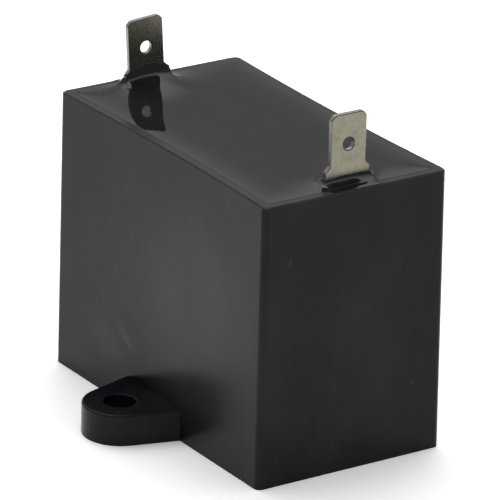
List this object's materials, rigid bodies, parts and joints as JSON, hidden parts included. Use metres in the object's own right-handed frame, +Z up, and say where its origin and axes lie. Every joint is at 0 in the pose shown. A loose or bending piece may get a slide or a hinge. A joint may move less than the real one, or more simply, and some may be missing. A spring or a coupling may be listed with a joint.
{
  "type": "box film capacitor",
  "caption": "Black moulded box capacitor potted in resin, with one mounting ear at its foot and flat quick-connect tabs standing on its open top.",
  "frame": {"origin": "centre of the case's bottom face", "axes": "+Z up, from the bottom face to the tabs; X along the case from the rear tab to the front tab; the mounting ear is on the -Y side"},
  "size_m": [0.058, 0.0448, 0.056],
  "materials": {
    "case_plastic": "black moulded plastic, satin, with a faint vertical mottle and light handling marks",
    "resin": "black cast resin, glossy, climbing each tab",
    "film": "metallised film wound and pressed flat, silvery",
    "zinc_spray": "sprayed zinc, grainy and dull",
    "tab_metal": "brass sheet tinned to a dull warm grey, with faint stains and bright cut edges",
    "solder": "lead-free solder, satin"
  },
  "bodies": {
    "root": {"case": "case_plastic", "potting_resin": "resin", "film_winding": "film", "end_spray_front": "zinc_spray", "end_spray_rear": "zinc_spray", "tab_front": "tab_metal", "tab_rear": "tab_metal", "solder_front": "solder", "solder_rear": "solder"}
  },
  "joints": []
}
